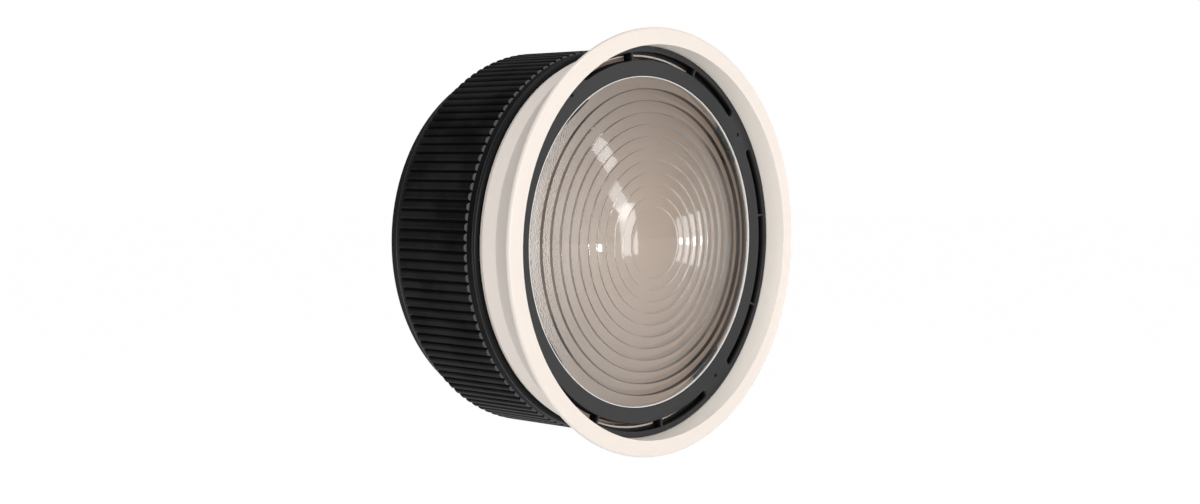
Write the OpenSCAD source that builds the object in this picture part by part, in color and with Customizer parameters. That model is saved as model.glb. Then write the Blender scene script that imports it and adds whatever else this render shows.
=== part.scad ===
// Focusing Fresnel lens attachment for a studio light.
//
// A stepped 200 mm lens sits in a vented bezel at the front of a telescoping
// barrel.  Turning the ribbed ring drives three rollers along helical grooves,
// which carries the barrel and the lens towards or away from the lamp.
//
// Every module is drawn along +Z, from the mounting plane at z = 0 to the
// front face at z = reach, and place() lays that axis down so that the lens
// looks along -Y and +Z is up.

/* [Overall] */
// Mounting plane to front face, with the barrel drawn in
reach = 140; // [136:1:165]
// Forward travel of the barrel from flood to spot
travel = 26; // [10:1:27]
// Turn of the focus ring that gives the full travel, in degrees
turn = 100; // [80:5:110]
// Radial and end clearance between pieces that slide or turn on each other
running_gap = 0.3; // [0.2:0.05:0.5]
// Clearance of pieces that are dropped into a seat
seat_gap = 0.3; // [0.1:0.05:0.4]

/* [Front barrel] */
// Outer diameter of the flared front rim
flange_d = 242; // [240:1:256]
// Width of the flat front face
face_w = 9.5; // [8.5:0.5:10.5]
// Thickness of the front rim
flange_t = 3; // [2.5:0.25:4]
// Edge radius of the front rim
flange_round = 1.4; // [0.5:0.1:1.4]
// Wall of the barrel behind the flare
barrel_wall = 2.6; // [2:0.1:2.8]
// Front face to the rear edge of the barrel
barrel_len = 37.5; // [36:0.5:42]
// Depth at which the flare meets the barrel
flare_depth = 24; // [23:0.5:28]
// Blend radius between flare and barrel
flare_blend = 3; // [2:1:12]
// Length of the chamfer at the rear edge of the barrel
edge_chamfer = 3; // [1:0.5:4]
// Radial depth of that chamfer
edge_drop = 1.1; // [0.4:0.1:1.6]
// Step in from the barrel's bore to the spigot that slides in the guide tube
spigot_step = 8.8; // [8.4:0.1:9.6]
// Wall of the spigot
spigot_wall = 3; // [2:0.25:4]
// Length of the spigot behind the barrel
spigot_len = 66.5; // [62:0.5:67]
// Floor between barrel and spigot
floor_t = 2.5; // [2:0.25:3.5]

/* [Bezel] */
// Depth of the bezel below the front face
recess_depth = 12.7; // [10:0.1:13.2]
// Thickness of the bezel plate
bezel_plate = 2; // [1.5:0.25:2.5]
// Depth of the vent channels, from the bezel's front face
bezel_depth = 5.5; // [4.5:0.25:6.5]
// Width of the bezel's edge that rests on the barrel
bezel_ledge = 2.3; // [1.8:0.1:3]
// Wall outside the vent channels
skirt_t = 1; // [0.8:0.1:1.2]
// Width of the vent channels
slot_w = 4.8; // [4.4:0.1:5]
// Thickness of the floor of the vent channels
vent_floor_t = 1; // [0.8:0.1:1.5]
// Width of the slit in that floor
vent_slit_w = 2.8; // [2:0.1:3.4]
// Land between the vent channels and the cell around the lens
slot_land = 0.6; // [0.4:0.1:1]
// Wall of that cell
cell_wall = 2.2; // [1.5:0.1:2.4]
// How far the edge of the window laps over the lens
window_lap = 6.2; // [5:0.1:8]
// Bevel of the bezel's edges
bezel_bevel = 0.5; // [0.2:0.1:0.8]
// Angle between the ends of one group of slots
slot_span = 76; // [60:1:78]
// Angle between the webs that part a group into slots
web_pitch = 30; // [20:1:34]
// Width of those webs
web_t = 1.1; // [0.8:0.1:2]
// Angle of the first screw boss, anticlockwise seen from the front
boss_angle = 37; // [30:0.1:60]
// Width of a screw boss, in degrees
boss_span = 12; // [9:0.5:13]
// Radial depth of a screw boss outside the cell's bore
boss_w = 4.8; // [4.6:0.1:5.2]

/* [Lens] */
// Thickness of the lens's plain rim
lens_rim_t = 5; // [4:0.25:6]
// Diameter of the smooth centre zone
lens_centre_d = 40.4; // [30:0.2:60]
// Number of stepped rings around it
lens_rings = 11; // [5:1:16]
// Height of the outermost step's foot above the rim
lens_foot = 1.5; // [0.5:0.1:2]
// Rise of the steps' feet from the rim to the centre
lens_dome = 6.3; // [2:0.1:8]
// Focal length that sets the slope of the zones
lens_focal = 310; // [220:5:500]
// Refractive index of the glass
lens_index = 1.47; // [1.46:0.01:1.6]
// Draft of the risers, in degrees
riser_draft = 5; // [1:0.5:8]
// Thickness of the gasket between lens and bezel
gasket_t = 0.5; // [0.4:0.1:1]
// Wall of the gasket's lip that lines the window
gasket_lip_t = 0.4; // [0.3:0.1:0.8]
// Thickness of the pads between lens and clips
pad_t = 0.5; // [0.4:0.1:1]
// Thickness of a lens clip
clip_t = 1.5; // [1:0.1:2]
// Width of a lens clip
clip_w = 28; // [20:1:30]
// How far a clip reaches in over the back of the lens
clip_reach = 13; // [8:0.5:17]
// Thickness of the barrel's ears that carry the clips
ear_t = 2.5; // [2:0.25:3.5]

/* [Focus ring] */
// Length of the focus ring
ring_len = 68.8; // [68:0.2:70]
// Gap between the barrel's rear edge and the ring
ring_gap = 0.7; // [0.5:0.1:2]
// Wall of the ring outside the helical grooves
ring_wall = 1.7; // [1.4:0.1:2]
// Height of the rounded lip above the rubber's seat
lip_h = 3.1; // [2:0.1:3.4]
// Width of that lip
lip_w = 2.8; // [2:0.2:4]
// Height of the ring's rear rim above the rubber's seat
rim_h = 0.5; // [0.2:0.1:1.6]
// Width of the rear rim
rim_w = 5.4; // [4:0.2:7]

/* [Rubber grip] */
// Thickness of the rubber at the crowns of its ribs
grip_t = 3.3; // [2.8:0.1:4]
// Number of ribs
rib_count = 124; // [60:4:160]
// Depth of the grooves between ribs
rib_h = 1.6; // [0.8:0.1:1.8]
// Share of a rib's pitch that its flat crown takes
rib_crown = 0.4; // [0.2:0.05:0.6]
// Length of the smooth band in front of the ribs
band_w = 4; // [2:0.5:8]
// Height of the band below the ribs' crown
band_drop = 0.6; // [0.2:0.1:1.2]
// Length of the chamfer at the ribs' ends
rib_chamfer = 1.6; // [0.5:0.1:3]

/* [Guide and rollers] */
// Wall of the guide tube
guide_wall = 2.4; // [2:0.1:2.5]
// Thickness of the guide tube's flange
guide_flange_t = 3; // [2:0.25:4]
// Height of that flange above the tube
guide_flange_h = 3.7; // [3.2:0.1:5]
// Outer diameter of a roller
roller_d = 8.8; // [7:0.2:10]
// Diameter of a roller's pin
pin_d = 6; // [4:0.2:6]
// Diameter of a pin's head
pin_head_d = 9; // [7.5:0.5:11]
// Height of a pin's head
pin_head_h = 1.6; // [1:0.1:2]
// Distance of the pins from the spigot's rear end
pin_inset = 8; // [7:0.5:9]
// Depth of the helical grooves in the ring
groove_depth = 5.6; // [5:0.1:5.8]
// Radial thickness of the retaining ring
keeper_t = 3.9; // [3:0.1:4.4]
// Length of the retaining ring
keeper_len = 5.6; // [4:0.2:7]
// Thickness of the thrust washer
washer_t = 0.5; // [0.4:0.1:1]
// Radial width of the thrust washer
washer_w = 2.9; // [2:0.1:3.2]
// Depth of the dust seal's groove in the guide tube
seal_t = 1.1; // [0.8:0.1:1.3]
// Width of the dust seal
seal_w = 4; // [2:0.5:6]

/* [Rear housing] */
// Outer diameter of the housing at the mounting plate
housing_back_d = 152; // [150:0.5:156]
// Wall of the housing
housing_wall = 2.5; // [2:0.25:3.5]
// Length of the straight stretch at the housing's front
housing_straight = 4; // [3:0.5:8]
// Length of the straight stretch at its back
housing_step = 6; // [4:0.5:8]
// Thickness of the housing's front seat
housing_seat_t = 3; // [2.5:0.25:4]
// Thickness of the housing's rear wall
housing_back_t = 3.5; // [3:0.25:5]
// Number of cooling slots in the cone
cooling_count = 24; // [12:4:28]
// Width of a cooling slot
cooling_w = 5; // [3:0.5:7]
// Distance of the cooling slots from the ends of the cone
cooling_margin = 3; // [2:0.5:5]
// Wall of the light liner
liner_wall = 1; // [0.8:0.1:1.5]
// Length of the liner's straight collar
liner_collar = 5.6; // [4:0.2:5.8]

/* [Bayonet] */
// Width of the plate outside the bayonet's flange
plate_land = 9; // [8.5:0.5:10]
// Width of the flange that holds the bayonet collar in the plate
collar_flange_w = 9.5; // [8.5:0.5:10]
// Wall of the collar round the throat that the light shines through
collar_wall = 8.3; // [6:0.1:9]
// Length of the collar behind the mounting plane
collar_len = 9; // [8:0.5:12]
// Height of a lug
lug_h = 4.5; // [3:0.5:5.5]
// Thickness of a lug
lug_t = 3; // [2:0.25:4]
// Width of a lug, in degrees
lug_span = 34; // [24:1:44]
// Thickness of the collar's flange
collar_flange_t = 2.5; // [2:0.25:3]
// Thickness of the mounting plate
plate_t = 3; // [2.5:0.25:4]

/* [Fasteners] */
// Thread diameter of the clip screws and bayonet screws
small_screw_d = 3; // [2.5:0.5:3]
// Thread diameter of the guide screws and plate screws
large_screw_d = 4; // [3:0.5:4]
// Number of guide screws
guide_screw_count = 6; // [3:1:8]
// Number of bayonet screws
bayonet_screw_count = 3; // [3:1:6]
// Number of plate screws
plate_screw_count = 6; // [3:1:8]

/* [Hidden] */

$fn = 96;
over = 1;            // how far a cutter runs past the face that it cuts
clip_count = 4;      // screw bosses, clips and groups of vent slots
roller_count = 3;    // rollers, guide slots and helical grooves
lug_count = 3;       // lugs of the bayonet
arc_steps = 6;       // straight steps that stand for one rounded edge
zone_steps = 5;      // straight steps that stand for one lens zone
twist_step = 5;      // turn of one slice of a helical groove, in degrees
screw_room = 1.2;    // from a screw's head to the wall beside it
head_land = 0.4;     // from a screw's head to the edge that it stands on
snug = 0.03;         // clearance of pieces that are pressed or threaded together
rim_edge = 0.6;      // rounding of the front rim's rear edge
rim_land = 0.8;      // flat between that rounding and the flare
lens_edge = 0.5;     // chamfer of the lens's rim
slit_land = 0.4;     // from a vent channel's inner wall to the slit in its floor
slit_end = 0.5;      // from a channel's end to the end of the slit, in degrees
seal_inset = 2;      // from the guide tube's front edge to the dust seal
seam = 0.05;         // keeps two cutters' faces from meeting along a line
edge_cut = 1;        // chamfer of the spigot's and the collar's leading edges
bore_depth = 4;      // straight bore behind the barrel's ears
screw_cover = 1.5;   // from the bezel's front face to the tips of the clip screws

// Radii of the front barrel and of what it holds, from the rim inwards
flange_r = flange_d / 2;
recess_r = flange_r - face_w;
skirt_r = recess_r - bezel_ledge - seat_gap;
slot_out_r = skirt_r - skirt_t;
slot_in_r = slot_out_r - slot_w;
cell_r = slot_in_r - slot_land - cell_wall;
lens_r = cell_r - seat_gap;
window_r = lens_r - window_lap;
boss_r = cell_r + boss_w;
clip_screw_r = cell_r + boss_w / 2;
clip_in_r = lens_r - clip_reach;
ear_in_r = clip_screw_r - head_r(small_screw_d) - screw_room;
bore_r = boss_r + seat_gap;
barrel_r = bore_r + barrel_wall;
spigot_r = bore_r - spigot_step;
spigot_in_r = spigot_r - spigot_wall;

// Radii of the guide tube and the focus ring, from the spigot outwards
guide_in_r = spigot_r + running_gap;
guide_r = guide_in_r + guide_wall;
guide_flange_r = guide_r + guide_flange_h;
guide_screw_r = guide_in_r - head_r(large_screw_d) - screw_room;
guide_flange_in_r = guide_screw_r - head_r(large_screw_d) - head_land;
keeper_r = guide_r + keeper_t;
keeper_seat_r = keeper_r + running_gap;
washer_in_r = guide_r + running_gap;
ring_in_r = guide_r + running_gap;
groove_r = ring_in_r + groove_depth;
ring_seat_r = groove_r + ring_wall;
lip_top_r = ring_seat_r + lip_h;
rim_r = ring_seat_r + rim_h;
grip_r = ring_seat_r + grip_t;
roller_r = roller_d / 2;
pin_r = pin_d / 2;

// Planes along the axis, from the front face back
face_z = reach;
bezel_z = face_z - recess_depth;
bezel_back_z = bezel_z - bezel_plate;
skirt_end_z = bezel_z - bezel_depth;
ledge_z = skirt_end_z - seat_gap;
lens_front_z = bezel_back_z - gasket_t;
lens_back_z = lens_front_z - lens_rim_t;
clip_z = lens_back_z - pad_t;
ear_z = clip_z - clip_t;
ear_back_z = ear_z - ear_t;
barrel_back_z = face_z - barrel_len;
spigot_end_z = barrel_back_z - spigot_len;
ring_z = barrel_back_z - ring_gap;
ring_back_z = ring_z - ring_len;
guide_z = ring_z - running_gap;
keeper_z = guide_z - keeper_len;
guide_flange_z = ring_back_z - washer_t - running_gap;
housing_z = guide_flange_z - guide_flange_t;
pin_z = spigot_end_z + pin_inset;

// The rollers' tracks
track_w = roller_d + 2 * running_gap;
lead_per_degree = travel / turn;
mean_track_r = (ring_in_r + groove_r) / 2;
lead_angle = atan(travel / (mean_track_r * turn * PI / 180));
track_axial_w = track_w / cos(lead_angle);
track_span = track_axial_w / lead_per_degree;
roller_in_r = spigot_r + running_gap;
roller_out_r = groove_r - 2 * running_gap;

// The rear housing and the bayonet, from the housing's edge inwards
housing_r = guide_flange_r;
housing_back_r = housing_back_d / 2;
collar_flange_r = housing_back_r - plate_land;
collar_r = collar_flange_r - collar_flange_w;
throat_r = collar_r - collar_wall;
plate_screw_r = (collar_flange_r + housing_back_r) / 2;
bayonet_screw_r = (collar_r + collar_flange_r) / 2;
liner_r = guide_flange_in_r - seat_gap;
liner_back_z = plate_t + collar_flange_t + seat_gap;

// Screws: the tapped hole, the head and its height follow the thread
function hole_r(d) = d / 2 + 0.2;
function core_r(d) = d / 2 - 0.25;
function head_r(d) = 0.85 * d;
function head_h(d) = 0.6 * d;

// Angles of the bosses and of the rollers
function boss_at(i) = boss_angle + i * 360 / clip_count;
function roller_at(i) = 90 + i * 360 / roller_count;

// Points of an arc about a centre, from angle a to angle b
function arc(centre, r, a, b, steps = arc_steps) =
    [for (i = [0:steps]) let (t = a + (b - a) * i / steps) centre + r * [cos(t), sin(t)]];

// Height of the steps' feet above the back of the lens, at a radius
step_r = window_r - seat_gap;
zone_w = (step_r - lens_centre_d / 2) / lens_rings;
function foot_h(r) = lens_rim_t + lens_foot + lens_dome * (1 - pow(r / step_r, 2));
// Height of a zone whose foot is at radius r1, measured at radius r
function zone_h(r, r1) = foot_h(r1) + (r1 * r1 - r * r) / (2 * (lens_index - 1) * lens_focal);
// Points of one zone, from its crest at r0 out to its foot at r1
function zone(r0, r1) =
    [for (i = [0:zone_steps]) let (r = r0 + (r1 - r0) * i / zone_steps) [r, zone_h(r, r1)]];
// Radius of a riser's crest: the riser leans out from its foot by the draft
function crest_r(k) =
    let (foot = lens_centre_d / 2 + k * zone_w)
    foot + (zone_h(foot, foot + zone_w) - foot_h(foot)) * tan(riser_draft);

// Turns the axis from +Z to -Y, which brings the front of the lens forward
module place() {
    rotate([90, 0, 0]) children();
}

// A plain ring between two radii and two heights
module ring(r_in, r_out, z0, z1) {
    translate([0, 0, z0]) difference() {
        cylinder(r = r_out, h = z1 - z0);
        translate([0, 0, -over]) cylinder(r = r_in, h = z1 - z0 + 2 * over);
    }
}

// A part of a ring that spans an angle about the X axis
module ring_sector(r_in, r_out, z0, z1, span) {
    rotate([0, 0, -span / 2]) translate([0, 0, z0])
        rotate_extrude(angle = span) translate([r_in, 0]) square([r_out - r_in, z1 - z0]);
}

// Copies of the children around the axis, from a first angle
module around(count, first = 0) {
    for (i = [0:count - 1]) rotate([0, 0, first + i * 360 / count]) children();
}

// A pan-head screw with a hexagon socket: the head lies behind z = 0
module screw(d, length) {
    difference() {
        union() {
            cylinder(r = core_r(d), h = length);
            translate([0, 0, -head_h(d)]) cylinder(r = head_r(d), h = head_h(d));
        }
        translate([0, 0, -head_h(d) - over])
            cylinder(r = 0.32 * d, h = 0.6 * head_h(d) + over, $fn = 6);
    }
}

// A countersunk screw whose flat head ends at z = 0
module flat_screw(d, length) {
    difference() {
        union() {
            cylinder(r = core_r(d), h = length);
            cylinder(r1 = head_r(d), r2 = core_r(d), h = head_r(d) - core_r(d));
        }
        translate([0, 0, -over]) cylinder(r = 0.3 * d, h = over + 0.3 * d, $fn = 6);
    }
}

// The hole that a countersunk screw goes through, from z = 0
module flat_screw_hole(d, length) {
    translate([0, 0, -over]) cylinder(r = hole_r(d), h = length + 2 * over);
    cylinder(r1 = head_r(d) + 0.1, r2 = hole_r(d), h = head_r(d) + 0.1 - hole_r(d));
    translate([0, 0, -over]) cylinder(r = head_r(d) + 0.1, h = over);
}

// ---------------------------------------------------------------- Fixed body

// Conical rear shell with cooling slots
module rear_housing() {
    seat_z = housing_z - housing_seat_t;
    cone_z1 = housing_z - housing_straight;
    cone_z0 = plate_t + housing_step;
    back_z = plate_t + housing_back_t;
    color([0.1, 0.1, 0.1]) place() difference() {
        rotate_extrude() polygon([
            [collar_flange_r + seat_gap, plate_t],
            [housing_back_r, plate_t],
            [housing_back_r, cone_z0],
            [housing_r, cone_z1],
            [housing_r, housing_z],
            [guide_flange_in_r, housing_z],
            [guide_flange_in_r, seat_z],
            [housing_r - housing_wall, seat_z],
            [housing_r - housing_wall, min(cone_z1, seat_z) - 0.01],
            [housing_back_r - housing_wall, max(cone_z0, back_z + 0.01)],
            [housing_back_r - housing_wall, back_z],
            [collar_flange_r + seat_gap, back_z]
        ]);
        around(cooling_count)
            translate([throat_r, -cooling_w / 2, cone_z0 + cooling_margin])
                cube([housing_r, cooling_w, cone_z1 - cone_z0 - 2 * cooling_margin]);
        around(guide_screw_count) translate([guide_screw_r, 0, seat_z - over])
            cylinder(r = core_r(large_screw_d), h = housing_seat_t + 2 * over);
        around(plate_screw_count) translate([plate_screw_r, 0, plate_t - over])
            cylinder(r = core_r(large_screw_d), h = housing_back_t + 2 * over);
    }
}

// Flat steel plate that seats on the light
module mount_plate() {
    color([0.55, 0.56, 0.58]) place() difference() {
        ring(collar_r + seat_gap, housing_back_r, 0, plate_t);
        around(plate_screw_count) translate([plate_screw_r, 0, 0])
            flat_screw_hole(large_screw_d, plate_t);
        around(bayonet_screw_count, 180 / bayonet_screw_count)
            translate([bayonet_screw_r, 0, 0]) flat_screw_hole(small_screw_d, plate_t);
    }
}

// Collar with three lugs that locks in the light's bayonet
module bayonet_ring() {
    color([0.62, 0.63, 0.65]) place() difference() {
        union() {
            rotate_extrude() polygon([
                [throat_r, -collar_len],
                [collar_r - edge_cut, -collar_len],
                [collar_r, edge_cut - collar_len],
                [collar_r, plate_t],
                [collar_flange_r, plate_t],
                [collar_flange_r, plate_t + collar_flange_t],
                [throat_r, plate_t + collar_flange_t]
            ]);
            around(lug_count) ring_sector(collar_r - over, collar_r + lug_h,
                edge_cut - collar_len, edge_cut - collar_len + lug_t, lug_span);
        }
        around(bayonet_screw_count, 180 / bayonet_screw_count)
            translate([bayonet_screw_r, 0, plate_t - over])
                cylinder(r = core_r(small_screw_d), h = collar_flange_t + 2 * over);
    }
}

module bayonet_screws() {
    color([0.7, 0.7, 0.72]) place()
        around(bayonet_screw_count, 180 / bayonet_screw_count)
            translate([bayonet_screw_r, 0, 0])
                flat_screw(small_screw_d, plate_t + collar_flange_t);
}

module plate_screws() {
    color([0.7, 0.7, 0.72]) place()
        around(plate_screw_count) translate([plate_screw_r, 0, 0])
            flat_screw(large_screw_d, plate_t + housing_back_t);
}

// Pale cone that lines the housing between throat and guide tube
module light_liner() {
    collar_z = housing_z - housing_seat_t;
    color([0.86, 0.83, 0.79]) place() rotate_extrude() polygon([
        [throat_r + seat_gap, liner_back_z],
        [throat_r + seat_gap + liner_wall, liner_back_z],
        [liner_r, collar_z],
        [liner_r, collar_z + liner_collar],
        [liner_r - liner_wall, collar_z + liner_collar],
        [liner_r - liner_wall, collar_z]
    ]);
}

// Fixed tube with straight slots that keep the barrel from turning
module guide_tube() {
    slot_len = travel + track_w;
    color([0.16, 0.16, 0.17]) place() difference() {
        rotate_extrude() polygon([
            [guide_in_r, guide_z],
            [guide_r, guide_z],
            [guide_r, guide_flange_z],
            [guide_flange_r, guide_flange_z],
            [guide_flange_r, housing_z],
            [guide_flange_in_r, housing_z],
            [guide_flange_in_r, guide_flange_z],
            [guide_in_r, guide_flange_z],
            [guide_in_r, guide_z - seal_inset - seal_w],
            [guide_in_r + seal_t, guide_z - seal_inset - seal_w],
            [guide_in_r + seal_t, guide_z - seal_inset],
            [guide_in_r, guide_z - seal_inset]
        ]);
        around(roller_count, roller_at(0)) {
            translate([0, -track_w / 2, pin_z])
                cube([guide_r + over, track_w, travel]);
            for (z = [pin_z, pin_z + travel])
                translate([0, 0, z]) rotate([0, 90, 0])
                    cylinder(r = track_w / 2, h = guide_r + over);
        }
        around(guide_screw_count) translate([guide_screw_r, 0, housing_z - over])
            cylinder(r = hole_r(large_screw_d), h = guide_flange_t + 2 * over);
    }
}

module guide_screws() {
    color([0.7, 0.7, 0.72]) place() around(guide_screw_count)
        translate([guide_screw_r, 0, guide_flange_z]) rotate([180, 0, 0])
            screw(large_screw_d, guide_flange_t + housing_seat_t);
}

// Ring threaded on the guide tube that keeps the focus ring in place, with
// notches for a spanner
module retaining_ring() {
    notch_w = 3;
    notch_h = 1.5;
    notch_land = 2;
    color([0.2, 0.2, 0.21]) place() difference() {
        ring(guide_r + snug, keeper_r, keeper_z, guide_z);
        around(4) translate([guide_r + notch_land, -notch_w / 2, guide_z - notch_h])
            cube([keeper_r, notch_w, notch_h + over]);
    }
}

module thrust_washer() {
    washer_z = ring_back_z - running_gap / 2;
    color([0.93, 0.92, 0.88]) place()
        ring(washer_in_r, washer_in_r + washer_w, washer_z - washer_t, washer_z);
}

module dust_seal() {
    color([0.25, 0.25, 0.25]) place()
        ring(guide_in_r, guide_in_r + seal_t, guide_z - seal_inset - seal_w, guide_z - seal_inset);
}

// ---------------------------------------------------------------- Focus ring

// One helical groove, cut from the inside of the ring.  The ring turns
// anticlockwise as the roller moves forward, so the groove falls back.
module helical_groove() {
    height = travel + track_axial_w;
    full_twist = height / lead_per_degree;
    first = track_axial_w / 2 / lead_per_degree;
    cut_in_r = guide_r - over;
    translate([0, 0, pin_z - track_axial_w / 2])
        linear_extrude(height = height, twist = full_twist,
            slices = ceil(full_twist / twist_step), $fn = 12)
            polygon(concat(
                arc([0, 0], groove_r, first - track_span / 2, first + track_span / 2),
                arc([0, 0], cut_in_r, first + track_span / 2, first - track_span / 2)
            ));
}

// Turned ring: rounded lip, seat for the rubber, rear rim, helical grooves
module focus_ring() {
    lip_r = lip_w / 2;
    rim_round = rim_w * 0.4;
    keeper_floor_z = keeper_z - running_gap;
    color([0.09, 0.09, 0.09]) place() difference() {
        rotate_extrude() polygon(concat(
            [[keeper_seat_r, ring_z]],
            arc([lip_top_r - lip_r, ring_z - lip_r], lip_r, 90, -90),
            [[ring_seat_r, ring_z - lip_w], [ring_seat_r, ring_back_z + rim_w]],
            [[rim_r, ring_back_z + rim_w]],
            arc([rim_r - rim_round, ring_back_z + rim_round], rim_round, 0, -90),
            [[ring_in_r, ring_back_z], [ring_in_r, keeper_floor_z], [keeper_seat_r, keeper_floor_z]]
        ));
        around(roller_count, roller_at(0)) helical_groove();
    }
}

// Half the outline of one rib, as [share of the pitch, depth below the crown]
rib_shape = [[-0.5, 1], [-0.44, 0.95], [-0.36, 0.35], [-rib_crown / 2, 0]];
function rib_point(i, share, depth) =
    let (a = (i + share) * 360 / rib_count, r = grip_r - depth * rib_h) r * [cos(a), sin(a)];

// Moulded rubber sleeve: smooth front band, then ribs with chamfered ends
module rubber_grip() {
    front_z = ring_z - lip_w;
    back_z = ring_back_z + rim_w;
    band_r = grip_r - band_drop;
    root_r = grip_r - rib_h - seam;
    sleeve_r = ring_seat_r + (grip_t - rib_h) / 2;
    rib_front_z = front_z - band_w;
    color([0.07, 0.07, 0.07]) place() difference() {
        union() {
            intersection() {
                translate([0, 0, back_z]) linear_extrude(rib_front_z - back_z) polygon([
                    for (i = [0:rib_count - 1]) each concat(
                        [for (p = rib_shape) rib_point(i, p[0], p[1])],
                        [for (k = [3:-1:1]) rib_point(i, -rib_shape[k][0], rib_shape[k][1])]
                    )
                ]);
                rotate_extrude() polygon([
                    [0, back_z],
                    [root_r, back_z],
                    [grip_r + 0.01, back_z + rib_chamfer],
                    [grip_r + 0.01, rib_front_z - rib_chamfer],
                    [root_r, rib_front_z],
                    [0, rib_front_z]
                ]);
            }
            translate([0, 0, rib_front_z]) cylinder(r = band_r, h = band_w);
            translate([0, 0, back_z]) cylinder(r = sleeve_r, h = front_z - back_z);
        }
        translate([0, 0, back_z - over])
            cylinder(r = ring_seat_r, h = front_z - back_z + 2 * over);
    }
}

// -------------------------------------------------------------- Front barrel

// Outline of the barrel from the front face, round the flare, to the spigot
function barrel_outline() =
    let (
        under_z = face_z - flange_t,
        flare_top = [flange_r - rim_edge - rim_land, under_z],
        meet = [barrel_r, face_z - flare_depth],
        lean = atan2(flare_top[0] - meet[0], flare_top[1] - meet[1]),
        tangent = flare_blend * tan(lean / 2),
        blend_centre = [barrel_r + flare_blend, meet[1] - tangent]
    )
    concat(
        [[recess_r, face_z]],
        arc([flange_r - flange_round, face_z - flange_round], flange_round, 90, 0),
        arc([flange_r - rim_edge, under_z + rim_edge], rim_edge, 0, -90, 3),
        [flare_top],
        arc(blend_centre, -flare_blend, -lean, 0),
        [
            [barrel_r, barrel_back_z + edge_chamfer],
            [barrel_r - edge_drop, barrel_back_z],
            [spigot_r, barrel_back_z],
            [spigot_r, spigot_end_z + edge_cut],
            [spigot_r - edge_cut, spigot_end_z],
            [spigot_in_r, spigot_end_z],
            [spigot_in_r, barrel_back_z + floor_t],
            [bore_r, ear_back_z - bore_depth],
            [bore_r, ledge_z],
            [skirt_r + seat_gap, ledge_z],
            [skirt_r + seat_gap, bezel_back_z],
            [recess_r, bezel_back_z]
        ]
    );

// One casting: front rim, flare, barrel, spigot and the ears for the clips
module front_barrel() {
    color([0.93, 0.9, 0.87]) place() difference() {
        union() {
            rotate_extrude() polygon(barrel_outline());
            around(clip_count, boss_at(0))
                ring_sector(ear_in_r, bore_r + over / 2, ear_back_z, ear_z, boss_span);
        }
        around(clip_count, boss_at(0)) translate([clip_screw_r, 0, ear_back_z - over])
            cylinder(r = hole_r(small_screw_d), h = ear_t + 2 * over);
        around(roller_count, roller_at(0)) translate([0, 0, pin_z]) rotate([0, 90, 0])
            cylinder(r = pin_r + snug, h = spigot_r + over);
    }
}

// One vent channel between two angles, with a slit in its floor for the air.
// Its ends may be rounded.
module vent_slot(a0, a1, round_start, round_end) {
    mid_r = (slot_in_r + slot_out_r) / 2;
    end_r = slot_w / 2 - seam;
    end_turn = slot_w / 2 / mid_r * 180 / PI;
    b0 = a0 + (round_start ? end_turn : 0);
    b1 = a1 - (round_end ? end_turn : 0);
    floor_z = skirt_end_z + vent_floor_t;
    h = bezel_z + over - floor_z;
    slit_in_r = slot_in_r + slit_land;
    rotate([0, 0, (b0 + b1) / 2]) {
        ring_sector(slot_in_r, slot_out_r, floor_z, floor_z + h, b1 - b0);
        ring_sector(slit_in_r, slit_in_r + vent_slit_w, skirt_end_z - over, floor_z + over,
            b1 - b0 - 2 * slit_end);
    }
    if (round_start) rotate([0, 0, b0]) translate([mid_r, 0, floor_z]) cylinder(r = end_r, h = h);
    if (round_end) rotate([0, 0, b1]) translate([mid_r, 0, floor_z]) cylinder(r = end_r, h = h);
}

// Dark ring with the window, the vent channels and the cell for the lens
module lens_bezel() {
    web_turn = web_t / slot_in_r * 90 / PI;
    inner_web = web_pitch / 2;
    window_wall_r = window_r + gasket_lip_t + snug;
    edge_r = recess_r - seat_gap;
    color([0.24, 0.24, 0.25]) place() difference() {
        union() {
            rotate_extrude() polygon([
                [window_wall_r, bezel_back_z],
                [window_wall_r, bezel_z - bezel_bevel],
                [window_wall_r + bezel_bevel, bezel_z],
                [edge_r - bezel_bevel, bezel_z],
                [edge_r, bezel_z - bezel_bevel],
                [edge_r, bezel_back_z],
                [skirt_r, bezel_back_z],
                [skirt_r, skirt_end_z],
                [cell_r + cell_wall, skirt_end_z],
                [cell_r + cell_wall, clip_z],
                [cell_r, clip_z],
                [cell_r, bezel_back_z]
            ]);
            around(clip_count, boss_at(0))
                ring_sector(cell_r + cell_wall / 2, boss_r, clip_z, bezel_back_z, boss_span);
        }
        for (i = [0:clip_count - 1]) rotate([0, 0, boss_at(i) + 180 / clip_count]) {
            vent_slot(-slot_span / 2, -inner_web - web_turn, true, false);
            vent_slot(-inner_web + web_turn, inner_web - web_turn, false, false);
            vent_slot(inner_web + web_turn, slot_span / 2, false, true);
        }
        around(clip_count, boss_at(0)) translate([clip_screw_r, 0, clip_z - over])
            cylinder(r = core_r(small_screw_d), h = bezel_z - clip_z + 2 * over);
    }
}

// Stepped lens: a domed centre and concentric zones, flat at the back
module fresnel_lens() {
    centre_r = lens_centre_d / 2;
    color([0.8, 0.86, 0.88, 0.5]) place() translate([0, 0, lens_back_z])
        rotate_extrude() polygon(concat(
            [[0, 0], [lens_r - lens_edge, 0], [lens_r, lens_edge]],
            [[lens_r, lens_rim_t - lens_edge], [lens_r - lens_edge, lens_rim_t]],
            [[step_r + 0.2, lens_rim_t]],
            [for (k = [lens_rings - 1:-1:0], i = [zone_steps:-1:0])
                zone(crest_r(k), centre_r + (k + 1) * zone_w)[i]],
            [for (i = [zone_steps:-1:0]) zone(0, centre_r)[i]]
        ));
}

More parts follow.
